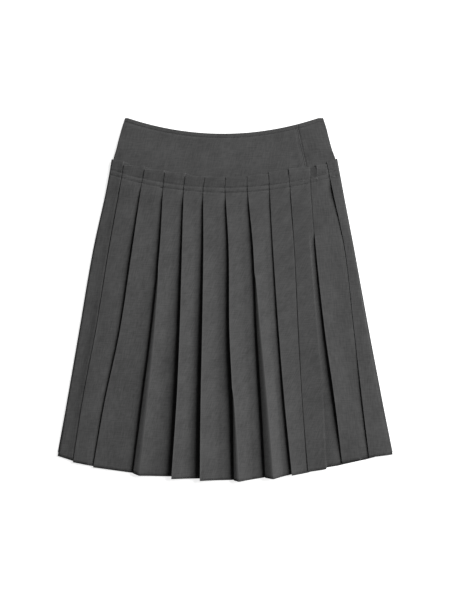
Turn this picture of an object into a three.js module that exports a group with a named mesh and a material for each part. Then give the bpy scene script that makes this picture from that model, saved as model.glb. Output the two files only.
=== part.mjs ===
import * as THREE from 'three';

// Pleated midi skirt, laid flat on its back with its front up.
// Millimetres. +X is the viewer's right, +Y runs from the hem to the waist, +Z is up from the surface.
// The origin is under the middle of the skirt, on the surface that it lies on.

// Cloth and the spaces between its layers
const cloth = 1.0;
const air = 0.35;
const seamGap = 0.3;

// Waist and yoke
const waistY = 354.6;
const waistDip = 30.5;
const waistMiddleX = -4.3;
const waistHalfWidth = 186.2;

// Header, which is the free top edge of the pleats over the yoke
const headerMiddleY = 239.1;
const headerCurve = 0.0007;
const headerLap = 32;

// Hem of the back, a little shorter than the front's
const backHemMiddleY = -346;
const backHemCurve = 0.00045;

// Heights at which every fold line is given, between its top and its hem
const levels = { hip: 213.7, thigh: 96.7, knee: -59.3, calf: -195.7 };

// Knife pleats of the front, a row for each panel from the left side seam.
// top to hem say how far right the panel's left edge is. topLeft to hemRight are the heights of its
// four corners. flank, ridge and opensAt describe a fold that opens towards the hem: how wide, how
// high and from where down.
const frontPanels = [
  { top: -221.3, hip: -232.2, thigh: -258, knee: -284.8, calf: -308.3, hem: -327,
    topLeft: 273.6, topRight: 269.8, hemLeft: -305.1, hemRight: -314.7 },
  { top: -197.5, hip: -206, thigh: -227.2, knee: -252.3, calf: -278.3, hem: -297.2,
    topLeft: 262.5, topRight: 259.5, hemLeft: -317.2, hemRight: -325.2 },
  { top: -156.8, hip: -164.6, thigh: -181.7, knee: -205.3, calf: -234.4, hem: -257.8,
    topLeft: 254.1, topRight: 252.1, hemLeft: -327.2, hemRight: -338.2 },
  { top: -117.4, hip: -121.3, thigh: -128, knee: -143.7, calf: -161.3, hem: -180.8,
    topLeft: 248.3, topRight: 246.8, hemLeft: -343.2, hemRight: -345.2,
    flank: 13, ridge: 2.2, opensAt: 60 },
  { top: -77.4, hip: -80.9, thigh: -84.4, knee: -88.7, calf: -94.6, hem: -105,
    topLeft: 241, topRight: 240.3, hemLeft: -349.2, hemRight: -349.2 },
  { top: -38.8, hip: -42.7, thigh: -42.7, knee: -45, calf: -47.8, hem: -49.5,
    topLeft: 239.1, topRight: 239.1, hemLeft: -352.6, hemRight: -352 },
  { top: 1, hip: 0.2, thigh: 6.6, knee: 8, calf: 14, hem: 16.4,
    topLeft: 239.1, topRight: 239.3, hemLeft: -354.6, hemRight: -346.9,
    flank: 10, ridge: 2.5, opensAt: -175 },
  { top: 43.3, hip: 43.7, thigh: 54.6, knee: 61, calf: 69.4, hem: 77.4,
    topLeft: 241, topRight: 245.5, hemLeft: -349.3, hemRight: -341.1,
    flank: 16, ridge: 5, opensAt: 50 },
  { top: 84.8, hip: 86.6, thigh: 93.2, knee: 103.9, calf: 115, hem: 129.7,
    topLeft: 248.3, topRight: 253.3, hemLeft: -342.9, hemRight: -337.7 },
  { top: 123.4, hip: 126.9, thigh: 135.3, knee: 143, calf: 150.5, hem: 161.5,
    topLeft: 255.3, topRight: 258.6, hemLeft: -336.7, hemRight: -319.6 },
  { top: 165, hip: 167.3, thigh: 176.7, knee: 193.6, calf: 212.9, hem: 227.8,
    topLeft: 262.5, topRight: 264.3, hemLeft: -319, hemRight: -308.1 },
  { top: 198, hip: 209, thigh: 233.6, knee: 251.2, calf: 266.8, hem: 280.4,
    topLeft: 272.4, topRight: 275.1, hemLeft: -307.9, hemRight: -302.6 },
];
// How high each panel's fold stands off the panel under it, at the same heights. The fold of the
// closure is held shut down to shutTo.
const foldLifts = [
  { hip: 0, thigh: 0, knee: 0, calf: 0, hem: 0 },
  { hip: 0.6, thigh: 0.9, knee: 0.5, calf: 0.6, hem: 0.8 },
  { hip: 1, thigh: 4.5, knee: 3.2, calf: 3, hem: 1 },
  { hip: 1, thigh: 5, knee: 5.8, calf: 5.8, hem: 4 },
  { hip: 1, thigh: 5, knee: 8, calf: 8.8, hem: 8.5 },
  { hip: 1, thigh: 5, knee: 8.2, calf: 9.2, hem: 11 },
  { hip: 1, thigh: 5, knee: 7.4, calf: 8.2, hem: 5 },
  { hip: 1, thigh: 4.5, knee: 5, calf: 6.6, hem: 5.5 },
  { hip: 1, thigh: 1.6, knee: 3.3, calf: 5, hem: 6 },
  { hip: 0.8, thigh: 0.4, knee: 0.8, calf: 0.3, hem: 0.8 },
  { hip: 0, thigh: 2.5, knee: 5, calf: 6, hem: 0.8, shutTo: 138 },
  { hip: 2.5, thigh: 0.6, knee: 0.3, calf: 2.3, hem: 1 },
];
const frontRightEdge = { top: 218.5, hip: 229.9, thigh: 252.3, knee: 280.6, calf: 306.6, hem: 327 };
const closurePanel = 10;

// Sides of the yoke, a row for each height of its side edge
const yokeSides = [
  { height: 354.6, left: -195.2, right: 191.3 },
  { height: 335.3, left: -201.8, right: 197.8 },
  { height: 314.3, left: -207.6, right: 203.1 },
  { height: 293.3, left: -212.7, right: 208.8 },
  { height: 275.3, left: -217.8, right: 215 },
  { height: 240.3, left: -223.6, right: 221.8 },
];
// Seam of the side closure across the yoke, from the waist to under the header
const closureSeam = { top: 138, bottom: 163 };

// Folded-under depth of a pleat: a share of its panel, no deeper than these
const underlapShare = 0.6;
const underlapAtTop = 15;
const underlapAtHem = 28;
// A fold is held shut to here below the header's top, and has its lift this much further down
const stitchedDepth = 31;
const liftRun = 25;
// How quickly an open fold opens: under 1 it opens early
const openingBend = 0.6;
// How far an under-layer's hem stays above the hem of the panel that covers it
const hemTuck = 1.5;
// Flat margins beside a fold, before the panel starts to slope and after it has come down
const foldMargin = 1;

// Places of the sections down a fold, from its top edge to its hem
const frontSections = [0, 0.034, 0.067, 0.092, 0.118, 0.148, 0.185, 0.22, 0.26, 0.3, 0.34, 0.38, 0.42,
  0.46, 0.5, 0.54, 0.58, 0.62, 0.66, 0.7, 0.74, 0.78, 0.82, 0.86, 0.9, 0.93, 0.965, 1];
const backSections = [0, 0.067, 0.148, 0.27, 0.4, 0.53, 0.66, 0.78, 0.89, 1];
const yokeSections = [0, 0.12, 0.24, 0.35, 0.42, 0.49, 0.56, 0.63, 0.8, 1];
const yokeColumnWidth = 16;

// Heights of the layers where they lie on each other
const pleatThickness = 3 * cloth + 2 * air;
const pleatRise = 2 * (cloth + air);
const frontLowest = pleatThickness + seamGap;
const yokeLowest = { back: 0, front: cloth + seamGap };
const frontOverYoke = frontLowest + 2 * (cloth + seamGap);
// Slopes between them: the yoke goes down above the header, the front goes down below the yoke's edge
const yokeSlope = { from: 3, to: 66 };
const frontSlope = { from: 40, to: 88 };

const backRoundTurn = Math.PI;

const mix = THREE.MathUtils.lerp;
const ease = THREE.MathUtils.smoothstep;

// Smooth curve through knots, at one place. Its slope at a knot is that of the line past its neighbours.
function through(places, values, place) {
  const last = places.length - 1;
  let k = 0;
  while (k < last - 1 && place < places[k + 1]) k += 1;
  const slopeAt = (n) => {
    const before = Math.max(n - 1, 0);
    const after = Math.min(n + 1, last);
    return (values[after] - values[before]) / (places[after] - places[before]);
  };
  const span = places[k + 1] - places[k];
  const s = THREE.MathUtils.clamp((place - places[k]) / span, 0, 1);
  const s2 = s * s;
  const s3 = s2 * s;
  return (2 * s3 - 3 * s2 + 1) * values[k] + (s3 - 2 * s2 + s) * span * slopeAt(k)
    + (3 * s2 - 2 * s3) * values[k + 1] + (s3 - s2) * span * slopeAt(k + 1);
}

const headerY = (x) => headerMiddleY + headerCurve * x * x;

// How far right a fold line is at a height
function lineX(line, topY, hemY, y) {
  const places = [topY, levels.hip, levels.thigh, levels.knee, levels.calf, hemY];
  const values = [line.top, line.hip, line.thigh, line.knee, line.calf, line.hem];
  return through(places, values, y);
}

// Height of the lowest layer of the front: over the yoke near the header, on the back below it
function frontBase(x, y) {
  const down = ease(headerY(x) - y, frontSlope.from, frontSlope.to);
  return mix(frontOverYoke, frontLowest, down);
}

// Place of a panel's left edge at a share of the way down. Past the last panel it is the right edge.
function edgeAt(panels, rightEdge, i, share) {
  const line = panels[i] ?? rightEdge;
  const topY = panels[i] ? panels[i].topLeft : panels[i - 1].topRight;
  const hemY = panels[i] ? panels[i].hemLeft : panels[i - 1].hemRight;
  const y = mix(topY, hemY, share);
  return { x: lineX(line, topY, hemY, y), y };
}

// Height that a fold stands off the panel under it, at a place on it
function liftAt(lifts, x, y, hemY) {
  if (!lifts) return 0;
  const places = [levels.hip, levels.thigh, levels.knee, levels.calf, hemY];
  const values = [lifts.hip, lifts.thigh, lifts.knee, lifts.calf, lifts.hem];
  const shutTo = Math.min(headerY(x) - stitchedDepth, lifts.shutTo ?? Infinity);
  return through(places, values, y) * ease(shutTo - y, 0, liftRun);
}

// One section across a pleated wall, along its outer face.
// From a panel the cloth runs on under the next fold, turns back at the inner fold, comes out as the
// middle layer and turns over the fold to be the next panel.
function pleatSection({ panels, lifts, rightEdge }, first, end, share, base) {
  const points = [];
  const place = (x, y, z) => points.push(new THREE.Vector3(x, y, z + base(x, y)));
  const edge = (i) => edgeAt(panels, rightEdge, i, share);
  const rightY = (i) => mix(panels[i].topRight, panels[i].hemRight, share);
  const underlap = (i) => Math.min(underlapShare * (edge(i + 1).x - edge(i).x),
    mix(underlapAtTop, underlapAtHem, share));
  const innerFold = (i) => {
    const x = edge(i).x + underlap(i) - cloth;
    const covering = mix(edge(i).y, rightY(i), (x - edge(i).x) / (edge(i + 1).x - edge(i).x));
    return { x, y: Math.max(rightY(i - 1), covering + hemTuck * share) };
  };
  for (let i = first; i < end; i += 1) {
    const { flank = 0, ridge = 0, opensAt = 0, hemLeft } = panels[i];
    const left = edge(i);
    const right = edge(i + 1);
    const opened = flank ? Math.max(0, (opensAt - left.y) / (opensAt - hemLeft)) ** openingBend : 0;
    const ridgeX = left.x + flank * opened;
    const yAcross = (x) => mix(left.y, rightY(i), (x - ridgeX) / (right.x - ridgeX));
    if (i === 0) {
      place(left.x, left.y, cloth);
      const middle = mix(left.x, right.x, 0.5);
      place(middle, yAcross(middle), cloth);
    } else {
      const raised = liftAt(lifts[i], left.x, left.y, hemLeft);
      const inner = innerFold(i);
      if (i > first) place(inner.x, inner.y, cloth);
      place(inner.x, inner.y, cloth + air);
      place(left.x, mix(left.y, rightY(i - 1), opened), cloth + air + raised);
      const extra = raised + ridge * opened;
      place(ridgeX, yAcross(ridgeX), cloth + pleatRise + extra);
      const slopeX = left.x + underlap(i) + foldMargin;
      const kept = extra * (right.x - slopeX) / (right.x - ridgeX);
      place(slopeX, yAcross(slopeX), cloth + pleatRise + kept);
    }
    place(right.x - foldMargin, yAcross(right.x - foldMargin), cloth);
  }
  const last = panels[end] ? innerFold(end) : { x: edge(end).x, y: rightY(end - 1) };
  place(last.x, last.y, cloth);
  return points;
}

// The cloth's other face: each point moved square to the section by the cloth's thickness,
// along the line that halves the corner there.
function otherFace(section) {
  const directions = section.slice(1).map((point, k) => {
    const step = new THREE.Vector2(point.x - section[k].x, point.z - section[k].z);
    return step.normalize();
  });
  return section.map((point, k) => {
    const before = directions[Math.max(k - 1, 0)];
    const after = directions[Math.min(k, directions.length - 1)];
    const scale = cloth / (1 + before.dot(after));
    const x = point.x + (before.y + after.y) * scale;
    const z = point.z - (before.x + after.x) * scale;
    return new THREE.Vector3(x, point.y, z);
  });
}

// Closed wall between two faces of the same rows and columns. Rows run down, columns to the right.
function wall(outer, inner) {
  const rows = outer.length;
  const columns = outer[0].length;
  const points = [...outer.flat(), ...inner.flat()];
  const at = (face, r, c) => face * rows * columns + r * columns + c;
  const index = [];
  const quad = (a, b, c, d) => index.push(a, b, c, a, c, d);
  for (let r = 0; r < rows - 1; r += 1) {
    for (let c = 0; c < columns - 1; c += 1) {
      quad(at(0, r, c), at(0, r + 1, c), at(0, r + 1, c + 1), at(0, r, c + 1));
      quad(at(1, r, c), at(1, r, c + 1), at(1, r + 1, c + 1), at(1, r + 1, c));
    }
    const c = columns - 1;
    quad(at(0, r, 0), at(1, r, 0), at(1, r + 1, 0), at(0, r + 1, 0));
    quad(at(0, r, c), at(0, r + 1, c), at(1, r + 1, c), at(1, r, c));
  }
  for (let c = 0; c < columns - 1; c += 1) {
    const r = rows - 1;
    quad(at(0, 0, c), at(0, 0, c + 1), at(1, 0, c + 1), at(1, 0, c));
    quad(at(0, r, c), at(1, r, c), at(1, r, c + 1), at(0, r, c + 1));
  }
  const geometry = new THREE.BufferGeometry().setFromPoints(points);
  geometry.setIndex(index);
  geometry.computeVertexNormals();
  return geometry;
}

// Pleated wall from one panel up to another, on a base that gives the height of its lowest layer
function pleatedWall(pleats, first, end, sections, base) {
  const outer = sections.map((share) => pleatSection(pleats, first, end, share, base));
  return wall(outer, outer.map(otherFace));
}

// Panels of the back, seen from behind: as many as the front, evenly fanned between its side seams
function backPanels() {
  const names = ['top', 'hip', 'thigh', 'knee', 'calf', 'hem'];
  const count = frontPanels.length;
  const lineAt = (share) => Object.fromEntries(
    names.map((name) => [name, mix(-frontRightEdge[name], -frontPanels[0][name], share)]));
  const hemY = (x) => backHemMiddleY + backHemCurve * x * x;
  const rows = [];
  for (let i = 0; i < count; i += 1) {
    const line = lineAt(i / count);
    const next = lineAt((i + 1) / count);
    rows.push({ ...line, topLeft: headerY(line.top), topRight: headerY(next.top),
      hemLeft: hemY(line.hem), hemRight: hemY(next.hem) });
  }
  return { panels: rows, lifts: [], rightEdge: lineAt(1) };
}

// Side edge of the yoke at a height
function yokeSideX(side, height) {
  return through(yokeSides.map((row) => row.height), yokeSides.map((row) => row[side]), height);
}

// Waist edge: a parabola up to its half width, and level at the blunt corners past it
const waistEdgeY = (x) => {
  const fromMiddle = Math.min(1, Math.abs(x - waistMiddleX) / waistHalfWidth);
  return waistY - waistDip * (1 - fromMiddle * fromMiddle);
};

// Yoke wall between two edges, each a function of the share of the way down
function yokeWall(leftAt, rightAt, lowest) {
  const widest = rightAt(1) - leftAt(1);
  const columns = Math.round(widest / yokeColumnWidth);
  const face = (thickness) => yokeSections.map((share) => {
    const points = [];
    for (let c = 0; c <= columns; c += 1) {
      const x = mix(leftAt(share), rightAt(share), c / columns);
      const topX = mix(leftAt(0), rightAt(0), c / columns);
      const y = mix(waistEdgeY(topX), headerY(x) - headerLap, share);
      const raised = 1 - ease(y - headerY(x), yokeSlope.from, yokeSlope.to);
      points.push(new THREE.Vector3(x, y, lowest + frontLowest * raised + thickness));
    }
    return points;
  });
  return wall(face(cloth), face(0));
}

const yokeBottomY = yokeSides[yokeSides.length - 1].height;
const yokeLeft = (share) => yokeSideX('left', mix(waistY, yokeBottomY, share));
const yokeRight = (share) => yokeSideX('right', mix(waistY, yokeBottomY, share));
const closureX = (share) => mix(closureSeam.top, closureSeam.bottom, share);

const suiting = { color: 0x4b4b4b, roughness: 0.9, metalness: 0 };

function addPiece(group, name, geometry) {
  const mesh = new THREE.Mesh(geometry, new THREE.MeshStandardMaterial(suiting));
  mesh.name = name;
  group.add(mesh);
  return mesh;
}

const group = new THREE.Group();

const front = { panels: frontPanels, lifts: foldLifts, rightEdge: frontRightEdge };
addPiece(group, 'pleats_front', pleatedWall(front, 0, closurePanel, frontSections, frontBase));
addPiece(group, 'pleats_side_front',
  pleatedWall(front, closurePanel, frontPanels.length, frontSections, frontBase));

const back = backPanels();
const pleatsBack = addPiece(group, 'pleats_back',
  pleatedWall(back, 0, back.panels.length, backSections, () => 0));
pleatsBack.rotation.y = backRoundTurn;
pleatsBack.position.z = pleatThickness;

addPiece(group, 'yoke_front', yokeWall(yokeLeft, closureX, yokeLowest.front));
addPiece(group, 'yoke_side_front', yokeWall((share) => closureX(share) + seamGap, yokeRight, yokeLowest.front));
addPiece(group, 'yoke_back', yokeWall(yokeLeft, yokeRight, yokeLowest.back));

export default group;
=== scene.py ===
# %% [markdown]
# # A pleated midi skirt, laid flat
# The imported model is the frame: it gives every piece its place, in metres, with the skirt on its back,
# the waist towards +Y and the front up. This script dresses it in thin cloth, stitching and light.

# %% Load the frame
import math

import bpy
import numpy as np
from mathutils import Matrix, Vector


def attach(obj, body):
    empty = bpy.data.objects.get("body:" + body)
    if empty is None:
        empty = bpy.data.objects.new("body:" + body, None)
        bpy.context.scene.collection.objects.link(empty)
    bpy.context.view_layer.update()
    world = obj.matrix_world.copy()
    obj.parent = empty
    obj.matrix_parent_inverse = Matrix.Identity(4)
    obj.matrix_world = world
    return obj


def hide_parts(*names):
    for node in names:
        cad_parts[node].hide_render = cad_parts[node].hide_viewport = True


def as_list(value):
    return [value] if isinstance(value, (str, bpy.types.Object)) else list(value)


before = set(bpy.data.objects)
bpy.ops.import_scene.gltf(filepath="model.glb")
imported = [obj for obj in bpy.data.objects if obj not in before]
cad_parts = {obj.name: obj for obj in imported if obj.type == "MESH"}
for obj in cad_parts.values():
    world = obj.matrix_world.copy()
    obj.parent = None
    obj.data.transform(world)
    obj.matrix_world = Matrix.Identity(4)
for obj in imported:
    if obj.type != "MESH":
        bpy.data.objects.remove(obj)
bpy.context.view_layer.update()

MM = 0.001

# %% [markdown]
# The camera comes first, because everything else is judged through it. A garment photographed flat is
# seen from straight above. A long lens from three metres keeps the sides from leaning, as a studio
# camera on a boom does. The height and the lens together set how much of the floor the picture holds.

# %% Camera
PICTURE_HEIGHT = 1170 * MM
PICTURE_MIDDLE = (-0.4 * MM, -0.8 * MM)
CAMERA_HEIGHT = 3.0
CLOTH_LEVEL = 6 * MM
SENSOR = 36.0

camera_data = bpy.data.cameras.new("camera")
camera_data.sensor_width = SENSOR
camera_data.lens = SENSOR * CAMERA_HEIGHT / PICTURE_HEIGHT
camera = bpy.data.objects.new("camera", camera_data)
camera.location = (*PICTURE_MIDDLE, CAMERA_HEIGHT + CLOTH_LEVEL)
bpy.context.collection.objects.link(camera)
bpy.context.scene.camera = camera
print("lens", round(camera_data.lens, 1), "mm")

# %% [markdown]
# The skirt's sizes are a pattern cutter's: where each fold line runs, from the top of the header to the
# hem. A short table with a row for each panel says this better than hundreds of points would, and
# every other shape is worked out from it.

# %% Sizes of the panels, in millimetres
WAIST_Y, WAIST_DIP, WAIST_MIDDLE, WAIST_HALF = 354.6, 30.5, -4.3, 186.2
HEADER_MIDDLE_Y, HEADER_CURVE, HEADER_LAP = 239.1, 0.0007, 32.0
LEVELS = {"hip": 213.7, "thigh": 96.7, "knee": -59.3, "calf": -195.7}
LINE = ("top", "hip", "thigh", "knee", "calf", "hem")
CORNERS = ("top_left", "top_right", "hem_left", "hem_right")
# Each row: how far right the panel's left edge is at each height, then the heights of its corners
PANEL_ROWS = [
    (-221.3, -232.2, -258, -284.8, -308.3, -327, 273.6, 269.8, -305.1, -314.7),
    (-197.5, -206, -227.2, -252.3, -278.3, -297.2, 262.5, 259.5, -317.2, -325.2),
    (-156.8, -164.6, -181.7, -205.3, -234.4, -257.8, 254.1, 252.1, -327.2, -338.2),
    (-117.4, -121.3, -128, -143.7, -161.3, -180.8, 248.3, 246.8, -343.2, -345.2),
    (-77.4, -80.9, -84.4, -88.7, -94.6, -105, 241, 240.3, -349.2, -349.2),
    (-38.8, -42.7, -42.7, -45, -47.8, -49.5, 239.1, 239.1, -352.6, -352),
    (1, 0.2, 6.6, 8, 14, 16.4, 239.1, 239.3, -354.6, -346.9),
    (43.3, 43.7, 54.6, 61, 69.4, 77.4, 241, 245.5, -349.3, -341.1),
    (84.8, 86.6, 93.2, 103.9, 115, 129.7, 248.3, 253.3, -342.9, -337.7),
    (123.4, 126.9, 135.3, 143, 150.5, 161.5, 255.3, 258.6, -336.7, -319.6),
    (165, 167.3, 176.7, 193.6, 212.9, 227.8, 262.5, 264.3, -319, -308.1),
    (198, 209, 233.6, 251.2, 266.8, 280.4, 268.2, 275.1, -307.9, -302.6),
]
RIGHT_EDGE = (218.5, 229.9, 252.3, 280.6, 306.6, 327)
CLOSURE_PANEL, STEPPED_PANEL = 10, 9

FRONT_PANELS = [dict(zip(LINE + CORNERS, row)) for row in PANEL_ROWS]
FRONT_RIGHT = dict(zip(LINE, RIGHT_EDGE))
print(len(FRONT_PANELS), "front panels,", FRONT_RIGHT["hem"] - FRONT_PANELS[0]["hem"], "mm across the hem")

# %% [markdown]
# No two folds lie alike. Some are pressed flat, some stand off their neighbour, three have opened
# towards the hem, and one is held shut by the closure. A second table says so, with a row for each
# panel's fold. Where a neighbour's cloth comes up to meet the fold, less of a step shows.

# %% How each fold lies, in millimetres
LIFTS = ("hip", "thigh", "knee", "calf", "hem")
FOLD = LIFTS + ("flank", "ridge", "opens_at", "roll", "header")
# Each row: the fold's lift at each height, then how wide and high it opens and from where down, how
# softly its edge is rolled, and its lift in the free header
FOLD_ROWS = [
    (0, 0, 0, 0, 0, 0, 0, 0, 0.5, 0.5),
    (0.3, 0.4, 0.2, 0.3, 0.5, 0, 0, 0, 2.6, 1.3),
    (1.0, 4.5, 3.4, 2.6, 0.8, 0, 0, 0, 0.8, 1.5),
    (0.8, 5.0, 5.8, 5.8, 4, 13, 2.2, 60, 0.8, 1.1),
    (0.8, 5.2, 9.4, 11.4, 10.5, 0, 0, 0, 0.5, 0.9),
    (0.8, 5.2, 9.8, 12.0, 12.6, 0, 0, 0, 0.5, 0.7),
    (0.8, 5.0, 8.6, 10.8, 7.5, 10, 2.5, -175, 0.5, 0.7),
    (0.8, 4.8, 5.8, 7.8, 6.5, 16, 5.0, 50, 0.5, 0.7),
    (0.8, 1.5, 3.3, 5.0, 6, 0, 0, 0, 0.5, 0.6),
    (0.6, 0.1, 0.5, 0.1, 0.8, 0, 0, 0, 0.5, 1.3),
    (0.0, 2.2, 4.8, 6.2, 0.8, 0, 0, 0, 0.5, 2.6),
    (2.0, 0.1, 0.1, 1.8, 1, 0, 0, 0, 0.5, 0.0),
]
# How far the neighbour's cloth comes up to meet some of the folds, at the same five heights
MEETINGS = {
    1: (1.1, 1.4, 1.4, 1.3, 1.2),
    8: (0.2, 0.3, 0, 0, 0),
    9: (0.6, 1.5, 1.2, 1.5, 0.8),
    11: (0, 1.4, 1.5, 0.3, 0.2),
}

FRONT_FOLDS = [dict(zip(FOLD, row)) for row in FOLD_ROWS]
for number, fold in enumerate(FRONT_FOLDS):
    fold["is_closure"], fold["is_stepped"] = number == CLOSURE_PANEL, number == STEPPED_PANEL
    fold["meetings"] = MEETINGS.get(number)
print(sum(fold["flank"] > 0 for fold in FRONT_FOLDS), "folds have opened")

# %% [markdown]
# The layers stack up, so their thicknesses decide how high everything lies. A pleat is three layers of
# cloth with a little air between them. The front lies on the back, and its header on two yokes as well.

# %% Thickness of the layers, in millimetres
CLOTH, AIR = 0.7, 0.2
PITCH = CLOTH + AIR
YOKE_CLOTH = 1.1
BACK_THICK = CLOTH + 2 * PITCH
LAYER_GAP = 0.2
FRONT_BASE = BACK_THICK + LAYER_GAP
HEADER_BASE = FRONT_BASE + 2 * (YOKE_CLOTH + LAYER_GAP)
print("a flat pleat is", round(BACK_THICK, 2), "mm thick; the header lies", round(HEADER_BASE, 2), "mm up")

# %% [markdown]
# A few helpers carry all the curves. The first draws a smooth line through a few knots, which is how a
# cutter's curve works. A soft step is for anything that starts and stops gently, and a bell for a ridge.

# %% Curves
def through(places, values, at):
    """Between two knots, a cubic whose end slopes are those of the lines past their neighbours."""
    order = np.argsort(places)
    places, values = np.asarray(places, float)[order], np.asarray(values, float)[order]
    padded_p = np.concatenate([places[:1], places, places[-1:]])
    padded_v = np.concatenate([values[:1], values, values[-1:]])
    slopes = (padded_v[2:] - padded_v[:-2]) / (padded_p[2:] - padded_p[:-2])
    k = np.clip(np.searchsorted(places, at, side="right") - 1, 0, len(places) - 2)
    span = places[k + 1] - places[k]
    s = np.clip((at - places[k]) / span, 0, 1)
    start = (2 * s**3 - 3 * s**2 + 1) * values[k] + (s**3 - 2 * s**2 + s) * span * slopes[k]
    end = (3 * s**2 - 2 * s**3) * values[k + 1] + (s**3 - s**2) * span * slopes[k + 1]
    return start + end


def ease(value, start, end):
    """0 before start and 1 after end, with level ends: s squared times (3 - 2s)."""
    s = np.clip((value - start) / (end - start), 0, 1)
    return s * s * (3 - 2 * s)


def mix(a, b, share):
    """Straight line from a to b."""
    return a + (b - a) * share


def header_y(x):
    """Top of the header: a shallow parabola, lowest in the middle."""
    return HEADER_MIDDLE_Y + HEADER_CURVE * x**2


def bell(distance, width):
    """1 at no distance, falling off both ways: e to the minus square of distance over width."""
    return np.exp(-((distance / width) ** 2))


print("header top:", HEADER_MIDDLE_Y, "and, at the side,", round(header_y(FRONT_RIGHT["top"]), 1))

# %% [markdown]
# Pressed wool is never quite flat. Long, low waves run through all the layers at once, as they do when
# a garment settles on a table, so they are one height field that every layer is laid on. A sum of a
# few sine waves with named lengths and directions is enough, and it gives the same cloth each run.
# Single creases and hollows are placed one by one, each as a soft ridge or trough along a line.

# %% How the cloth lies
# Each row: length of the wave, its direction in degrees from +X, its height and where it starts
WAVES = [
    (190, 8, 0.42, 0.4),
    (131, 172, 0.28, 2.1),
    (87, 22, 0.18, 4.4),
    (63, 158, 0.11, 1.2),
    (240, 80, 0.42, 3.0),
    (108, 97, 0.18, 5.2),
]
# Each row: the crease's two ends, how wide its side is, and how high it stands
CREASES = [
    (-236, 50, -297, -330, 6.0, 1.3),
    (-60, 40, -58, -120, 9.0, -0.5),
    (-20, -60, -16, -230, 8.0, 0.4),
    (88, 30, 97, -60, 7.0, -0.45),
    (72, 110, 100, 104, 6.0, 0.25),
    (84, 88, 112, 84, 5.0, -0.25),
    (-150, 90, -120, 60, 10.0, -0.4),
    (-230, -60, -262, -210, 8.0, 0.4),
    (-190, -150, -205, -290, 7.0, -0.35),
    (-110, -200, -128, -310, 8.0, 0.45),
    (140, -20, 160, -150, 9.0, 0.35),
    (262, 60, 285, -110, 8.0, 0.4),
]
# A crease fades in and out over this share of its length
CREASE_FADE = 0.3
# Each row: middle of a swell or hollow of the yoke, its reach and its height
YOKE_SWELLS = [
    (182, 292, 22, 1.8),
    (-192, 294, 24, 1.5),
    (-60, 282, 60, 0.5),
    (70, 300, 50, -0.4),
]


def waves(x, y):
    """Sum of sines: each is its height times the sine of the distance along its direction."""
    total = 0
    for length, degrees, height, start in WAVES:
        turn = math.radians(degrees)
        along = x * math.cos(turn) + y * math.sin(turn)
        total = total + height * np.sin(2 * np.pi * along / length + start)
    return total


def creases(x, y):
    """Sum of ridges: a bell across the line, times a soft start and end along it."""
    total = 0
    for x0, y0, x1, y1, side, height in CREASES:
        length = math.hypot(x1 - x0, y1 - y0)
        along = ((x - x0) * (x1 - x0) + (y - y0) * (y1 - y0)) / length
        across = ((x - x0) * (y1 - y0) - (y - y0) * (x1 - x0)) / length
        fade = length * CREASE_FADE
        ends = ease(along, 0, fade) * (1 - ease(along, length - fade, length))
        total = total + height * ends * bell(across, side)
    return total


def swells(x, y):
    """Sum of bells round their middles."""
    total = 0
    for middle_x, middle_y, reach, height in YOKE_SWELLS:
        square = (x - middle_x) ** 2 + (y - middle_y) ** 2
        total = total + height * np.exp(-square / reach**2)
    return total


print(len(WAVES), "waves,", len(CREASES), "creases and", len(YOKE_SWELLS), "swells of the yoke")

# %% [markdown]
# Two rows of stitching hold the pleats on the yoke. The header is pressed flat down to them, so its
# layers are thinner there. The thread sinks in and puckers the cloth beside it, and the free edge
# above flares a little. All of it depends on one number: how far below the header's top a point is.

# %% The stitched header
STITCH_ROWS = (20.5, 30.2)
STITCH_PRESS, STITCH_PRESS_WIDTH = 0.8, 1.5
PINCH_THINS, PINCH_ENDS = 0.45, (STITCH_ROWS[1] + 1, STITCH_ROWS[1] + 26)
# Each row: length of the pucker's wave, its height and where it starts
PUCKERS = ((10.3, 0.24, 0.0), (17.1, 0.26, 1.0), (6.4, 0.12, 2.0))
PUCKER_BELOW, PUCKER_WIDTH, PUCKER_SLANT = 2.2, 3.0, 0.11
PUCKER_SWING, PUCKER_BEAT = 0.7, 67.0
HEADER_FLARE, HEADER_FLAT_FROM, HEADER_FLAT_TO = 1.5, 120.0, 190.0
# How far below the header's top the pleats leave the yoke, lie on the back, and have all their waves
LEAVES_YOKE, ON_BACK, SETTLED = 40.0, 88.0, 100.0
WAVE_SHARE = 0.8
BASE_CLEAR = 0.3


def pinched(below):
    """1 in the pressed header, down to the lower of the two rows, and 0 well below them."""
    return 1 - ease(below, *PINCH_ENDS)


def cloth_at(below):
    """Thickness of one layer: thinner where it is pinched."""
    return CLOTH * (1 - PINCH_THINS * pinched(below))


def puckers(x, below):
    """Sum of short sines that slant a little, stronger and weaker by turns along the row."""
    total = sum(height * np.sin(2 * np.pi * x / length + start + PUCKER_SLANT * below)
                for length, height, start in PUCKERS)
    return total * (1 + PUCKER_SWING * np.sin(2 * np.pi * x / PUCKER_BEAT))


def front_base(x, y):
    """Height under the front: over the yoke at the header, on the back below, pressed in by the rows."""
    below = header_y(x) - y
    level = mix(HEADER_BASE, FRONT_BASE, ease(below, LEAVES_YOKE, ON_BACK))
    press = sum(bell(below - row, STITCH_PRESS_WIDTH) for row in STITCH_ROWS)
    beside = sum(bell(below - row - PUCKER_BELOW, PUCKER_WIDTH) for row in STITCH_ROWS)
    free, wide = 1 - ease(below, 0, STITCH_ROWS[0]), 1 - ease(x, HEADER_FLAT_FROM, HEADER_FLAT_TO)
    flare = HEADER_FLARE * free * wide
    sewn = puckers(x, below) * beside - STITCH_PRESS * press
    settled = ease(below, LEAVES_YOKE, SETTLED)
    return level + flare + sewn + (waves(x, y) * WAVE_SHARE + creases(x, y)) * settled + BASE_CLEAR


print("one layer is", CLOTH, "mm thick, and pinched", round(float(cloth_at(STITCH_ROWS[0])), 2), "mm")

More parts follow.
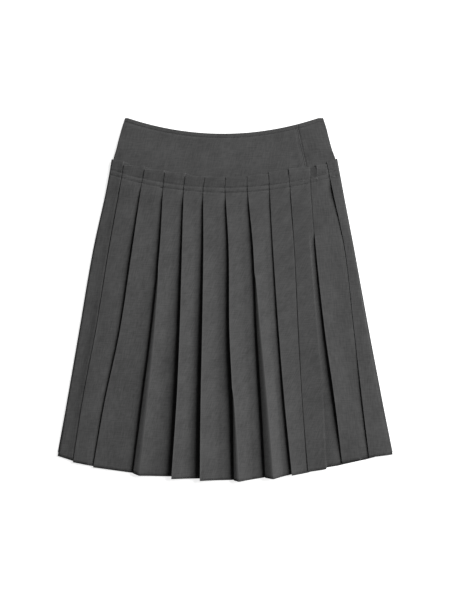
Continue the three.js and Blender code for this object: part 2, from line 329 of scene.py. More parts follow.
# %% [markdown]
# A knife pleat in section is a path: the panel runs right and slips under the next fold, turns back at
# the inner fold, comes out again as the middle layer, and turns over the fold to be the next panel.
# The path is first a few corners. Each corner is then rounded by its own reach, small at a pressed
# fold and long where the panel only bends. All rows of the skirt are worked out at once as arrays.

# %% A path with rounded corners
CORNER_STEPS = 4


def rounded(corners, reaches):
    """Each inner corner becomes a quadratic curve between points its reach, or half a side, from it."""
    before, here, after = corners[:, :-2], corners[:, 1:-1], corners[:, 2:]
    reach = reaches[:, 1:-1, None]
    span_before = np.linalg.norm(before - here, axis=2, keepdims=True)
    span_after = np.linalg.norm(after - here, axis=2, keepdims=True)
    start = here + (before - here) * np.minimum(reach / np.maximum(span_before, 1e-6), 0.5)
    end = here + (after - here) * np.minimum(reach / np.maximum(span_after, 1e-6), 0.5)
    s = np.linspace(0, 1, CORNER_STEPS)[None, None, :, None]
    arc = (1 - s) ** 2 * start[:, :, None] + 2 * s * (1 - s) * here[:, :, None] + s**2 * end[:, :, None]
    rows = corners.shape[0]
    return np.concatenate([corners[:, :1], arc.reshape(rows, -1, 3), corners[:, -1:]], axis=1)


def repeated(values):
    """A value for each corner becomes one for each point of the rounded path."""
    values = np.asarray(values)
    return np.concatenate([values[:1], np.repeat(values[1:-1], CORNER_STEPS), values[-1:]])


class Section:
    """Outer face of a wall as corners from left to right, each one a column over all the rows."""

    def __init__(self, base):
        self.base = base
        self.columns, self.reaches, self.shown, self.pressed = [], [], [], []

    def place(self, x, y, z, reach, shown=True, pressed=0.0):
        """Adds a corner z above the base. It may show or not, and be on a pressed edge."""
        self.columns.append(np.stack([x, y, z + self.base(x, y)], axis=1))
        self.reaches.append(np.broadcast_to(reach, x.shape))
        self.shown.append(shown)
        self.pressed.append(pressed)

    def finished(self):
        """The rounded face, with its two masks."""
        corners, reaches = np.stack(self.columns, axis=1), np.stack(self.reaches, axis=1)
        return rounded(corners, reaches), repeated(self.shown), repeated(self.pressed)


print("a path of 6 corners has", len(repeated(range(6))), "points")

# %% [markdown]
# The closure is a placket. Its fold is held shut below the stitching, and in the free header it starts
# further right, which leaves a recess. The layer under the fold rises there, so it lies in shade.

# %% The closure, in millimetres
CLOSURE_SHUT_TO = 138.0
CLOSURE_NOTCH, NOTCH_ENDS = 12.0, (STITCH_ROWS[0] - 5, STITCH_ROWS[0] - 2.5)
RECESS_TILT, TILT_ENDS = 2.8, (STITCH_ROWS[0] - 6, STITCH_ROWS[0] + 2)


def closure_shift(x, y):
    """How far right of its line the closure's fold is: the notch, until just above the stitching."""
    return CLOSURE_NOTCH * (1 - ease(header_y(x) - y, *NOTCH_ENDS))


def recess_tilt(x, y):
    """How high the layer under the closure's fold rises, the same way."""
    return RECESS_TILT * (1 - ease(header_y(x) - y, *TILT_ENDS))


print("the recess is", CLOSURE_NOTCH, "mm wide")

# %% [markdown]
# The tables give each panel's sides. The rest follows from them, row by row: the fold's lift, the cloth
# hidden under it, and how far its neighbour rises to meet it.

# %% Lines of the pleats
UNDERLAP_SHARE, UNDERLAP_TOP, UNDERLAP_HEM = 0.6, 15.0, 28.0
HEM_TUCK = 1.5
HEADER_LIFT_END, HELD_MARGIN, LIFT_RUN = STITCH_ROWS[0] - 1, 2.0, 25.0
CLOSURE_MEETS, CLOSURE_PARTS = 2 * PITCH - 0.15, (-5, 40)
HEADER_MEETS, HEADER_MEETS_ENDS = 1.0, (STITCH_ROWS[0] - 8, STITCH_ROWS[0])


class Pleats:
    """A row of panels with their folds. It gives the edges and inner folds at shares of the way down."""

    def __init__(self, panels, folds, right_edge, shares):
        last = {**right_edge, "top_left": panels[-1]["top_right"], "hem_left": panels[-1]["hem_right"]}
        self.panels, self.folds, self.lines, self.shares = panels, folds, [*panels, last], shares

    def edge(self, i):
        """Left edge of panel i, or the right edge of the last one, through its six named places."""
        line = self.lines[i]
        y = mix(line["top_left"], line["hem_left"], self.shares)
        places = [line["top_left"], *LEVELS.values(), line["hem_left"]]
        return through(places, [line[name] for name in LINE], y), y

    def right_y(self, i):
        """Height of a panel's right side, from its top corner to its hem corner."""
        return mix(self.panels[i]["top_right"], self.panels[i]["hem_right"], self.shares)

    def underlap(self, i):
        """Depth of the cloth folded under panel i."""
        width = self.edge(i + 1)[0] - self.edge(i)[0]
        return np.minimum(UNDERLAP_SHARE * width, mix(UNDERLAP_TOP, UNDERLAP_HEM, self.shares))

    def inner_fold(self, i):
        """The inner fold lies under panel i: its top is no higher than either, its hem no lower."""
        left, left_y = self.edge(i)
        right, _ = self.edge(i + 1)
        x = left + self.underlap(i) - CLOTH
        covering, beside = mix(left_y, self.right_y(i), (x - left) / (right - left)), self.right_y(i - 1)
        return x, mix(np.minimum(beside, covering), np.maximum(beside, covering + HEM_TUCK), self.shares)

    def down(self, i, values, y):
        """A smooth line through five values of fold i, from the hip to the hem."""
        return through([*LEVELS.values(), self.panels[i]["hem_left"]], values, y)

    def lift(self, i, x, y):
        """Lift of fold i: a little in the free header, none where it is held shut, then its own."""
        fold = self.folds[i]
        header = fold["header"] * (1 - ease(header_y(x) - y, 0, HEADER_LIFT_END))
        held_to = header_y(x) - STITCH_ROWS[1] - HELD_MARGIN
        if fold["is_closure"]:
            held_to = np.minimum(held_to, CLOSURE_SHUT_TO)
        return header + self.down(i, [fold[name] for name in LIFTS], y) * ease(held_to - y, 0, LIFT_RUN)

    def meeting(self, i):
        """How far the neighbour rises to fold i: its row of the table, and more where it is sewn."""
        x, y = self.edge(i)
        own = np.zeros_like(y)
        if i >= len(self.folds):
            return own
        if self.folds[i]["meetings"]:
            own = self.down(i, self.folds[i]["meetings"], y)
        if self.folds[i]["is_closure"]:
            own = CLOSURE_MEETS * (1 - ease(CLOSURE_SHUT_TO - y, *CLOSURE_PARTS))
        return np.maximum(own, HEADER_MEETS * (1 - ease(header_y(x) - y, *HEADER_MEETS_ENDS)))


print("cloth under a fold: up to", UNDERLAP_TOP, "mm at the top and", UNDERLAP_HEM, "mm at the hem")

# %% [markdown]
# A panel knows its own sides, how thick its cloth is at each row, and how far its fold has opened. An
# opened fold stands back from its line and shows its flank.

# %% One panel
OPENING_BEND = 0.6


class Panel:
    """Panel i over all the rows: its sides, its layers, and how far its fold has opened."""

    def __init__(self, pleats, i):
        self.pleats, self.number, self.fold = pleats, i, pleats.folds[i]
        self.left, self.left_y = pleats.edge(i)
        self.right, self.next_y = pleats.edge(i + 1)
        self.right_y, self.meets = pleats.right_y(i), pleats.meeting(i + 1)
        self.cloth = cloth_at(header_y(self.left) - self.left_y)
        self.high = self.cloth + 2 * (self.cloth + AIR)
        self.opened = np.zeros_like(self.left)
        if self.fold["flank"]:
            reach = self.fold["opens_at"] - pleats.panels[i]["hem_left"]
            self.opened = np.clip((self.fold["opens_at"] - self.left_y) / reach, 0, 1) ** OPENING_BEND
        if self.fold["is_closure"]:
            self.left = self.left + closure_shift(self.left, self.left_y)
        self.ridge_x = self.left + self.fold["flank"] * self.opened

    def across(self, x):
        """The row's height at x, on the straight line from the fold to the right side."""
        return mix(self.left_y, self.right_y, (x - self.ridge_x) / (self.right - self.ridge_x))


print("opening goes with the way down to the power", OPENING_BEND)

# %% [markdown]
# From under its neighbour the cloth comes out of the inner fold as the middle layer, and turns over at
# the fold itself. That corner is sharp where it was pressed, and rounder where it has opened.

# %% The fold
SHARP, SOFT = 0.45, 9.0
LEAST_UNDERLAP = 3.0
# A flank's middle: its place and height across, its roll, and what opening adds to that
FLANK_PLACE, FLANK_HEIGHT, FLANK_ROLL, FLANK_OPEN_ROLL = 0.45, 0.56, 0.2, 3.0
RIDGE_OPEN_ROLL = 2.5


def fold_over(path, panel, is_first):
    """The inner fold, the middle layer, and the fold. Gives the fold's lift over a flat pleat."""
    pleats, i, fold, opened = panel.pleats, panel.number, panel.fold, panel.opened
    inner, inner_y = pleats.inner_fold(i)
    inner = np.maximum(inner, panel.left + LEAST_UNDERLAP)
    middle = panel.cloth + AIR
    over = recess_tilt(*pleats.edge(i)) if fold["is_closure"] else 0
    if not is_first:
        path.place(inner, inner_y, panel.cloth, SHARP, False)
    path.place(inner, inner_y, middle + over, SHARP, False)
    raised = pleats.lift(i, panel.left, panel.left_y)
    foot_y = mix(panel.left_y, pleats.right_y(i - 1), opened)
    path.place(panel.left, foot_y, middle + raised, SHARP, False)
    lift = raised + fold["ridge"] * opened
    ridge_y = panel.across(panel.ridge_x)
    if fold["flank"]:
        part_x = mix(panel.left, panel.ridge_x, FLANK_PLACE)
        part_z = mix(middle + raised, panel.high + lift, FLANK_HEIGHT)
        part_roll = FLANK_ROLL + FLANK_OPEN_ROLL * opened
        path.place(part_x, mix(foot_y, ridge_y, FLANK_PLACE), part_z, part_roll)
    roll = fold["roll"] + RIDGE_OPEN_ROLL * opened
    # The ridge takes the whole mask, so the material paints its highlight along the fold's edge
    path.place(panel.ridge_x, ridge_y, panel.high + lift, roll, True, 1.0)
    return lift


print("a pressed fold bends within", SHARP, "mm, and a panel within", SOFT, "mm")

# %% [markdown]
# Past the fold the panel loses its lift, quickly at first, because a pressed edge is stiff and the cloth
# behind it is not. One panel also has a soft crease that becomes a step at the hem.

# %% The slope of a panel
FOLD_MARGIN, PRESSED_EDGE, BESIDE_REACH = 1.0, 3.0, 1.5
# Share of the fold's lift beside it, and of an even run-down on the slope, at the step and halfway
KEPT_BESIDE, KEPT_SLOPE, KEPT_STEP, KEPT_HALFWAY = 0.86, 0.2, 0.15, 0.1
# The step: its place across the panel above and at the hem, its depth and its drop
STEP_PLACE_HIGH, STEP_PLACE_HEM, STEP_DEPTH, STEP_DROP = 0.69, 0.26, 0.7, 3.8
STEP_HALF_WIDTH, STEP_REACH = 1.4, 0.6
# From and to how far below the skirt's middle it moves, deepens and drops
STEP_MOVES, STEP_DEEPENS, STEP_DROPS = (176, 330), (130, 240), (270, 335)
# Shares of its depth and drop that the columns beside it take
DEPTH_BEFORE, DEPTH_HALFWAY, DROP_SLOPE, DROP_AFTER = 0.2, 1.2, 0.85, 0.5


def slope_down(path, panel, lift):
    """From the fold to halfway across, where little of the lift is left, with the step if it has one."""
    high, across, depth = panel.high, panel.across, -panel.left_y
    beside = panel.ridge_x + PRESSED_EDGE
    slope_x = panel.left + panel.pleats.underlap(panel.number) + FOLD_MARGIN + PRESSED_EDGE
    halfway = mix(slope_x, panel.right, 0.5)
    kept = lift * (panel.right - slope_x) / (panel.right - panel.ridge_x)
    is_stepped = panel.fold["is_stepped"]
    deep = STEP_DEPTH * ease(depth, *STEP_DEEPENS) * is_stepped
    drop = STEP_DROP * ease(depth, *STEP_DROPS) * is_stepped
    path.place(beside, across(beside), high + KEPT_BESIDE * lift, BESIDE_REACH)
    path.place(slope_x, across(slope_x) - DROP_SLOPE * drop, high + KEPT_SLOPE * kept, SOFT)
    if is_stepped:
        step_x = mix(slope_x, halfway, mix(STEP_PLACE_HIGH, STEP_PLACE_HEM, ease(depth, *STEP_MOVES)))
        step_y, step_z = across(step_x), high + KEPT_STEP * kept
        path.place(step_x - STEP_HALF_WIDTH, step_y - drop, step_z - DEPTH_BEFORE * deep, STEP_REACH)
        path.place(step_x + STEP_HALF_WIDTH, step_y + DROP_AFTER * drop, step_z - deep, STEP_REACH)
    level = mix(high + KEPT_HALFWAY * kept, panel.cloth + panel.meets, 0.5)
    path.place(halfway, across(halfway), level + DEPTH_HALFWAY * deep, SOFT)


print("the step is", STEP_DEPTH, "mm deep and drops", STEP_DROP, "mm at the hem")

# %% [markdown]
# A panel ends under the next fold: it rises to meet it, or lies flat. With that the path over any run of
# panels is a loop. At the end of a piece the cloth runs on to the hidden inner fold, where it is cut.

# %% The whole path
FIRST_PANEL_SHARES = (0.0, 0.3, 0.65)
# Shares of the margin that a panel keeps from the next fold: at the closure, its foot and the last edge
CLOSURE_MARGIN, FOOT_MARGIN, LAST_MARGIN = 0.5, 0.2, 1.5
MEETING_CLEAR = 0.1
LANDING_REACH, FOOT_REACH, LAST_REACH, UNDER_REACH = 0.3, 0.1, 2.0, 1.0


def slip_under(path, panel):
    """The right end: risen to meet the next fold and down at its foot, or flat on the last panel."""
    folds, after = panel.pleats.folds, panel.number + 1
    is_by_closure = after < len(folds) and folds[after]["is_closure"]
    margin = FOLD_MARGIN * (CLOSURE_MARGIN if is_by_closure else 1)
    meets = np.minimum(panel.meets, 2 * (panel.cloth + AIR) - MEETING_CLEAR)
    landing, foot = panel.right - margin, panel.right - FOOT_MARGIN * margin
    if np.any(meets):
        path.place(landing, panel.across(landing), panel.cloth + meets, LANDING_REACH)
        path.place(foot, panel.across(foot), panel.cloth, FOOT_REACH)
    else:
        path.place(landing - LAST_MARGIN * margin, panel.across(landing), panel.cloth, LAST_REACH)


def pleat_path(pleats, first, end, base):
    """Outer face of every row, with two masks for its columns: shown, and how near a pressed edge."""
    path = Section(base)
    for i in range(first, end):
        panel = Panel(pleats, i)
        if i == 0:
            for share in FIRST_PANEL_SHARES:
                x = mix(panel.left, panel.right, share)
                path.place(x, panel.across(x), panel.cloth, SOFT)
        else:
            slope_down(path, panel, fold_over(path, panel, i == first))
        slip_under(path, panel)
    if end < len(pleats.panels):
        under_x, under_y = pleats.inner_fold(end)
        under_z = panel.cloth + recess_tilt(panel.right, panel.next_y)
        fold_x = panel.right + closure_shift(panel.right, panel.next_y) + FOLD_MARGIN
        path.place(fold_x, under_y, under_z, UNDER_REACH, False)
        path.place(under_x, under_y, under_z, SOFT, False)
    else:
        path.place(panel.right, panel.right_y, panel.cloth, SOFT)
    return path.finished()

# %% [markdown]
# A wall of cloth is two faces and the edge between them. The other face is the first one moved square
# to the section by the cloth's thickness, along the line that halves each bend, so the thickness stays
# even round a fold. Building both faces by hand keeps the tight folds clean, where a Solidify modifier
# would cross itself. The UV map is the cloth's own measure: metres along the section and down the
# length, so that the weave follows the folds.

# %% Walls as meshes
SHARPEST_DOT = -0.6


def other_face(face, thickness):
    """Each point moved by thickness over (1 + dot of its two directions) times their summed normals."""
    step = np.diff(face[:, :, [0, 2]], axis=1)
    step /= np.maximum(np.linalg.norm(step, axis=2, keepdims=True), 1e-9)
    before = np.concatenate([step[:, :1], step], axis=1)
    after = np.concatenate([step, step[:, -1:]], axis=1)
    dot = np.clip((before * after).sum(axis=2), SHARPEST_DOT, 1)
    scale = thickness / (1 + dot)
    moved = face.copy()
    moved[:, :, 0] += (before[:, :, 1] + after[:, :, 1]) * scale
    moved[:, :, 2] -= (before[:, :, 0] + after[:, :, 0]) * scale
    return moved


def quads_of(grid):
    """Quads of a grid of indices, row by row."""
    return np.stack([grid[:-1, :-1], grid[1:, :-1], grid[1:, 1:], grid[:-1, 1:]], axis=-1).reshape(-1, 4)


def link_mesh(name, points, faces, uv=None, pressed=None):
    """New object at the origin from arrays of points, in millimetres, and faces of four points."""
    mesh = bpy.data.meshes.new(name)
    mesh.vertices.add(len(points))
    mesh.vertices.foreach_set("co", (points * MM).astype(np.float32).ravel())
    mesh.loops.add(faces.size)
    mesh.loops.foreach_set("vertex_index", faces.astype(np.int32).ravel())
    mesh.polygons.add(len(faces))
    mesh.polygons.foreach_set("loop_start", np.arange(0, faces.size, faces.shape[1], dtype=np.int32))
    mesh.polygons.foreach_set("use_smooth", np.ones(len(faces), bool))
    if uv is not None:
        layer = mesh.uv_layers.new(name="cloth")
        layer.data.foreach_set("uv", (uv[faces.ravel()] * MM).astype(np.float32).ravel())
    # This mask, near each pressed fold edge, is where the material paints a highlight
    if pressed is not None:
        mask = mesh.attributes.new("pressed", "FLOAT", "POINT")
        mask.data.foreach_set("value", pressed.astype(np.float32).ravel())
    mesh.update(calc_edges=True)
    mesh.validate()
    made = bpy.data.objects.new(name, mesh)
    bpy.context.collection.objects.link(made)
    return made


def wall_mesh(name, outer, inner, pressed=None):
    """Closed wall: the outer grid, the inner grid turned over, and four strips round the edge."""
    rows, columns = outer.shape[:2]
    count = rows * columns
    grid = np.arange(count).reshape(rows, columns)
    borders = ((grid[0], 1), (grid[-1], -1), (grid[:, 0], -1), (grid[:, -1], 1))
    strips = [quads_of(np.stack([border, border + count], axis=1))[:, ::turn] for border, turn in borders]
    faces = np.concatenate([quads_of(grid), quads_of(grid + count)[:, ::-1], *strips])
    step = np.linalg.norm(np.diff(outer, axis=1), axis=2)
    along = np.concatenate([np.zeros((rows, 1)), np.cumsum(step, axis=1)], axis=1)
    uv = np.stack([along, -outer[:, :, 1]], axis=2).reshape(-1, 2)
    points = np.concatenate([outer.reshape(-1, 3), inner.reshape(-1, 3)])
    mask = np.zeros(columns) if pressed is None else pressed
    mask = np.tile(np.broadcast_to(mask, (rows, columns)).ravel(), 2)
    made = link_mesh(name, points, faces, np.concatenate([uv, uv]), mask)
    print(name, 2 * len(faces), "triangles")
    return made

# %% [markdown]
# The front is cut in two: the main piece, and the side front, whose first fold is the edge of the
# closure. Rows are close together at the header, where the stitching presses the cloth in, and
# further apart below, where the folds run straight.

# %% Pleated front and side front
HEADER_SHARE = 0.066
HEADER_ROWS = np.linspace(0, HEADER_SHARE, 34)
LENGTH_ROWS = np.linspace(HEADER_SHARE, 1, 80)[1:]
FRONT_SHARES = np.concatenate([HEADER_ROWS, LENGTH_ROWS])
front_pleats = Pleats(FRONT_PANELS, FRONT_FOLDS, FRONT_RIGHT, FRONT_SHARES)


def pleated_front(name, first, end):
    """Wall of some of the front's panels, with its outer face and its mask of what shows."""
    face, shown, pressed = pleat_path(front_pleats, first, end, front_base)
    thickness = cloth_at(header_y(face[:, :, 0]) - face[:, :, 1])
    return wall_mesh(name, face, other_face(face, thickness), pressed), face, shown


pleats_front, front_face, front_shown = pleated_front("skirt_pleats_front", 0, CLOSURE_PANEL)
pleats_side, side_face, side_shown = pleated_front(
    "skirt_pleats_side_front", CLOSURE_PANEL, len(FRONT_PANELS))
pieces = {"pleats_front": (pleats_front, front_face), "pleats_side_front": (pleats_side, side_face)}

# %% [markdown]
# The back carries on the same pleats round the body, evenly fanned because nothing shows how they
# really lie. It is worked out as seen from behind, then turned half round its long axis, so that its
# outer faces come to rest on the floor.

# %% Pleated back
BACK_HEM_Y, BACK_HEM_CURVE = -346.0, 0.00045
BACK_SHARES = np.linspace(0, 1, 60)
FLAT_FOLD = dict.fromkeys((*FOLD, "is_closure", "is_stepped", "meetings"), 0) | {"roll": 0.45}


def back_hem_y(x):
    """Hem of the back: a shallow parabola, lowest in the middle."""
    return BACK_HEM_Y + BACK_HEM_CURVE * x**2


def back_panels():
    """As many panels as the front between its side lines mirrored, and the right edge of the last."""
    count = len(FRONT_PANELS)
    rows = [{name: mix(-FRONT_RIGHT[name], -FRONT_PANELS[0][name], i / count) for name in LINE}
            for i in range(count + 1)]
    for here, after in zip(rows, rows[1:]):
        here["top_left"], here["top_right"] = header_y(here["top"]), header_y(after["top"])
        here["hem_left"], here["hem_right"] = back_hem_y(here["hem"]), back_hem_y(after["hem"])
    return rows[:-1], rows[-1]


def flat_base(x, y):
    """Level ground."""
    return np.zeros_like(x)


def turned_over(points):
    """Half a turn about the long axis, then up so that the lowest layer rests at zero."""
    return points * np.array([-1, 1, -1]) + np.array([0, 0, BACK_THICK])


back_rows, back_right = back_panels()
back_pleats = Pleats(back_rows, [FLAT_FOLD] * len(back_rows), back_right, BACK_SHARES)
back_face, _, back_pressed = pleat_path(back_pleats, 0, len(back_rows), flat_base)
# Nothing stands higher than a flat pleat, because the floor presses it
back_face[:, :, 2] = np.minimum(back_face[:, :, 2], BACK_THICK)
pleats_back = wall_mesh(
    "skirt_pleats_back", turned_over(back_face), turned_over(other_face(back_face, CLOTH)), back_pressed)
pieces["pleats_back"] = (pleats_back, back_face)

# %% [markdown]
# The yoke is a shaped band: concave at the waist, widening to the hips, and slipping under the header.
# It is a grid between four curves. Its thickness is that of the cloth and the facing behind it, and the
# waist is a turned edge, so the wall is rounded there like a roll. From under the header it comes down
# to the floor, because nothing holds it up at the waist.

# %% Yoke
# Each row: height of the side edge, and how far out the left and right edges are there
YOKE_SIDES = [
    (354.6, -195.2, 191.3),
    (335.3, -201.8, 197.8),
    (314.3, -207.6, 203.1),
    (293.3, -212.7, 208.8),
    (275.3, -217.8, 215),
    (240.3, -223.6, 221.8),
]
# Where the closure's seam is at the waist and at its foot, and the gap in it
CLOSURE_TOP, CLOSURE_FOOT, SEAM_GAP = 138.0, 163.0, 0.3
YOKES_APART = 0.3
YOKE_SLOPE = (3.0, 66.0)
YOKE_WAVE_SHARE, YOKE_WAVE_STRETCH, YOKE_CALM = 0.5, 1.1, 30.0
WAIST_STITCH, WAIST_PRESS, WAIST_PRESS_WIDTH = 8.0, 0.8, 1.3
CLOSURE_STITCHES = (-2.7, 2.9)
CLOSURE_PRESS = 0.7
# Both ends of a short bar of stitches across the foot of the closure
CLOSURE_BAR = ((146.0, 266.5), (140.0, 257.0))
heights, lefts, rights = (np.array(column) for column in zip(*YOKE_SIDES))


def side_edge(places):
    """A side edge as a function of the share of the way from the waist to the hidden lower edge."""
    return lambda share: through(heights, places, mix(heights[0], heights[-1], share))


yoke_left, yoke_right = side_edge(lefts), side_edge(rights)


def closure_x(share):
    """The seam of the closure, which leans outwards on its way down."""
    return mix(CLOSURE_TOP, CLOSURE_FOOT, share)


def waist_y(x):
    """Waist edge: a parabola, lowest in the middle, and level at the blunt corners."""
    from_middle = np.minimum(np.abs(x - WAIST_MIDDLE) / WAIST_HALF, 1)
    return WAIST_Y - WAIST_DIP * (1 - from_middle**2)


def closure_at(y):
    """The closure's seam at a height, for the rows of stitching beside it."""
    top, foot = waist_y(CLOSURE_TOP), header_y(CLOSURE_FOOT) - HEADER_LAP
    return closure_x((top - y) / (top - foot))


def yoke_height(x, y, below_edge):
    """Top of the front yoke: level, slope over the header, waves, swells and pressed rows."""
    raised = 1 - ease(y - header_y(x), *YOKE_SLOPE)
    soft = YOKE_WAVE_SHARE * waves(x * YOKE_WAVE_STRETCH, y) + swells(x, y)
    soft = soft * ease(y - header_y(x), 0, YOKE_CALM) + BASE_CLEAR
    waist_press = WAIST_PRESS * bell(below_edge - WAIST_STITCH, WAIST_PRESS_WIDTH)
    rows = sum(bell(x - closure_at(y) - row, 1.0) for row in CLOSURE_STITCHES)
    level = YOKE_CLOTH + YOKES_APART + YOKE_CLOTH
    return level + FRONT_BASE * raised + soft - waist_press - CLOSURE_PRESS * rows


# Shares of the way down, close together at the turned edge and across the waist's stitches
EDGE_ROWS = (0, 0.0012, 0.003, 0.006, 0.012, 0.02, 0.03,
             0.036, 0.042, 0.048, 0.054, 0.06, 0.068, 0.08, 0.1)
YOKE_SHARES = np.concatenate([EDGE_ROWS, np.linspace(0.1, 1, 40)[1:]])


def yoke_faces(left_at, right_at, columns, front):
    """Both faces between two edges, the waist and a hidden line, rounded like a roll at the waist."""
    share = YOKE_SHARES[:, None]
    x = mix(left_at(share), right_at(share), np.linspace(0, 1, columns)[None])
    y = mix(waist_y(x[:1]), header_y(x) - HEADER_LAP, share)
    below_edge = y[:1] - y
    half = YOKE_CLOTH / 2
    roll = half * (1 - np.sqrt(1 - (1 - np.clip(below_edge / half, 0, 1)) ** 2))
    if front:
        top = yoke_height(x, y, below_edge)
    else:
        top = YOKE_CLOTH + FRONT_BASE * (1 - ease(y - header_y(x), *YOKE_SLOPE))
    return np.stack([x, y, top - roll], axis=2), np.stack([x, y, top - YOKE_CLOTH + roll], axis=2)


for name, node, left_at, right_at, columns, front in (
    ("skirt_yoke_front", "yoke_front", yoke_left, closure_x, 220, True),
    ("skirt_yoke_side_front", "yoke_side_front", lambda s: closure_x(s) + SEAM_GAP, yoke_right, 60, True),
    ("skirt_yoke_back", "yoke_back", yoke_left, yoke_right, 120, False),
):
    outer, inner = yoke_faces(left_at, right_at, columns, front)
    pieces[node] = (wall_mesh(name, outer, inner), outer)

# %% [markdown]
# Sewing is thread, not paint: each stitch is a short, thin thread that dives into the cloth at both
# ends. A row of them follows a line on the cloth. For the header that line is cut from the pleated
# face itself, so the stitches climb over each fold. All stitches of a row are one mesh, worked out at
# once from the places along the line.

# %% One row of stitches
STITCH_LENGTH, STITCH_GAP, FIRST_STITCH = 2.5, 0.9, 0.2
STITCH_TIP, STITCH_ARCH, STITCH_SUNK, LOOK_AHEAD = 0.04, 0.22, 0.08, 0.2
THREAD_WIDTH, THREAD_HEIGHT = 0.65, 0.4
STITCH_RINGS, STITCH_SIDES = 5, 6


def stitch_row(name, line):
    """Tubes along a line: each ring's size and height follow the sine of its place along the stitch."""
    step = np.linalg.norm(np.diff(line, axis=0), axis=1)
    travelled = np.concatenate([[0], np.cumsum(step)])
    count = int(travelled[-1] // (STITCH_LENGTH + STITCH_GAP))
    starts = (np.arange(count) + FIRST_STITCH) * (STITCH_LENGTH + STITCH_GAP)
    share = np.linspace(0, 1, STITCH_RINGS)
    places = starts[:, None] + share[None] * STITCH_LENGTH
    middle, further = (np.stack([np.interp(at, travelled, line[:, k]) for k in range(3)], axis=2)
                       for at in (places, places + LOOK_AHEAD))
    ahead = further - middle
    ahead[:, :, 2] = 0
    ahead /= np.maximum(np.linalg.norm(ahead, axis=2, keepdims=True), 1e-9)
    side = np.stack([-ahead[:, :, 1], ahead[:, :, 0], 0 * ahead[:, :, 0]], axis=2)
    arch = np.sin(np.pi * np.clip(share, STITCH_TIP, 1 - STITCH_TIP))
    middle[:, :, 2] += arch * STITCH_ARCH - STITCH_SUNK
    turn = 2 * np.pi * np.arange(STITCH_SIDES) / STITCH_SIDES
    size = np.sqrt(arch)[None, :, None, None]
    wide = side[:, :, None] * (np.cos(turn)[None, None, :, None] * THREAD_WIDTH / 2 * size)
    tall = np.array([0, 0, 1.0]) * (np.sin(turn)[None, None, :, None] * THREAD_HEIGHT / 2 * size)
    points = (middle[:, :, None] + wide + tall).reshape(-1, 3)
    ring = np.arange(STITCH_RINGS - 1)[:, None] * STITCH_SIDES
    near, after = ring + np.arange(STITCH_SIDES), ring + np.roll(np.arange(STITCH_SIDES), -1)
    tube = np.stack([near, after, after + STITCH_SIDES, near + STITCH_SIDES], axis=-1)
    cap = np.array([[0, 1, 2, 3], [0, 3, 4, 5]])
    one = np.concatenate([tube.reshape(-1, 4), cap[:, ::-1], cap + (STITCH_RINGS - 1) * STITCH_SIDES])
    faces = (one[None] + np.arange(count)[:, None, None] * STITCH_RINGS * STITCH_SIDES).reshape(-1, 4)
    made = link_mesh(name, points, faces)
    print(name, count, "stitches")
    return made

# %% [markdown]
# The pleated face is a grid, so a row through the header is where each of its shown columns passes one
# depth. The yoke is a formula, so its rows are any x and y with the height that the formula gives.

# %% The rows
WAIST_ROW_FROM = 0.05
ROW_POINTS, WAIST_POINTS, BAR_POINTS = 60, 160, 20


def line_on_face(face, shown, row):
    """Where a face's shown columns pass a depth below the header's top: each by interpolation."""
    below = header_y(face[:, :, 0]) - face[:, :, 1]
    columns = np.flatnonzero(shown)
    points = np.array([[np.interp(row, below[:, c], face[:, c, k]) for k in range(3)] for c in columns])
    forward = np.concatenate([[True], np.diff(np.maximum.accumulate(points[:, 0])) > 1e-6])
    return points[forward]


def line_on_yoke(x, y):
    """The line with its height on the yoke."""
    return np.stack([x, y, yoke_height(x, y, waist_y(x) - y)], axis=1)


header_stitches = [
    stitch_row(f"stitches_header_{side}_{label}", line_on_face(face, shown, row))
    for label, face, shown in (("front", front_face, front_shown), ("side_front", side_face, side_shown))
    for side, row in zip(("upper", "lower"), STITCH_ROWS)]

waist_x = np.linspace(yoke_left(WAIST_ROW_FROM), yoke_right(WAIST_ROW_FROM), WAIST_POINTS)
waist_stitches = stitch_row("stitches_waist", line_on_yoke(waist_x, waist_y(waist_x) - WAIST_STITCH))
row_y = np.linspace(waist_y(CLOSURE_TOP) - WAIST_STITCH, header_y(CLOSURE_FOOT) - 1, ROW_POINTS)
closure_stitches = [
    stitch_row(f"stitches_closure_{label}", line_on_yoke(closure_at(row_y) + offset, row_y))
    for label, offset in zip(("left", "right"), CLOSURE_STITCHES)]
bar_x, bar_y = (np.linspace(start, end, BAR_POINTS) for start, end in zip(*CLOSURE_BAR))
closure_bar = stitch_row("stitches_closure_bar", line_on_yoke(bar_x, bar_y))

# %% [markdown]
# Materials are trees of nodes, and the same few steps come back in each, so each step is a helper.

# %% Node helpers
BUMP_DEPTH = 0.1 * MM


def set_inputs(node, values):
    """Gives inputs their values, by name."""
    for label, value in values.items():
        node.inputs[label].default_value = value


def new_material(name, values):
    """Material whose Principled shader has these values, with its tree and that shader."""
    material = bpy.data.materials.new(name)
    material.use_nodes = True
    shader = material.node_tree.nodes["Principled BSDF"]
    set_inputs(shader, values)
    return material, material.node_tree, shader


def math_node(tree, operation, *values):
    """One Math node; each value is a socket or a number."""
    node = tree.nodes.new("ShaderNodeMath")
    node.operation = operation
    for socket, value in zip(node.inputs, values):
        if isinstance(value, float):
            socket.default_value = value
        else:
            tree.links.new(value, socket)
    return node.outputs[0]


def noise_node(tree, vector, stretch, detail):
    """Noise on a vector stretched by so many features a metre along each axis; about 0.5 on average."""
    mapping = tree.nodes.new("ShaderNodeMapping")
    set_inputs(mapping, {"Scale": stretch})
    tree.links.new(vector, mapping.inputs["Vector"])
    noise = tree.nodes.new("ShaderNodeTexNoise")
    set_inputs(noise, {"Scale": 1.0, "Detail": detail})
    tree.links.new(mapping.outputs[0], noise.inputs["Vector"])
    return noise.outputs[0]


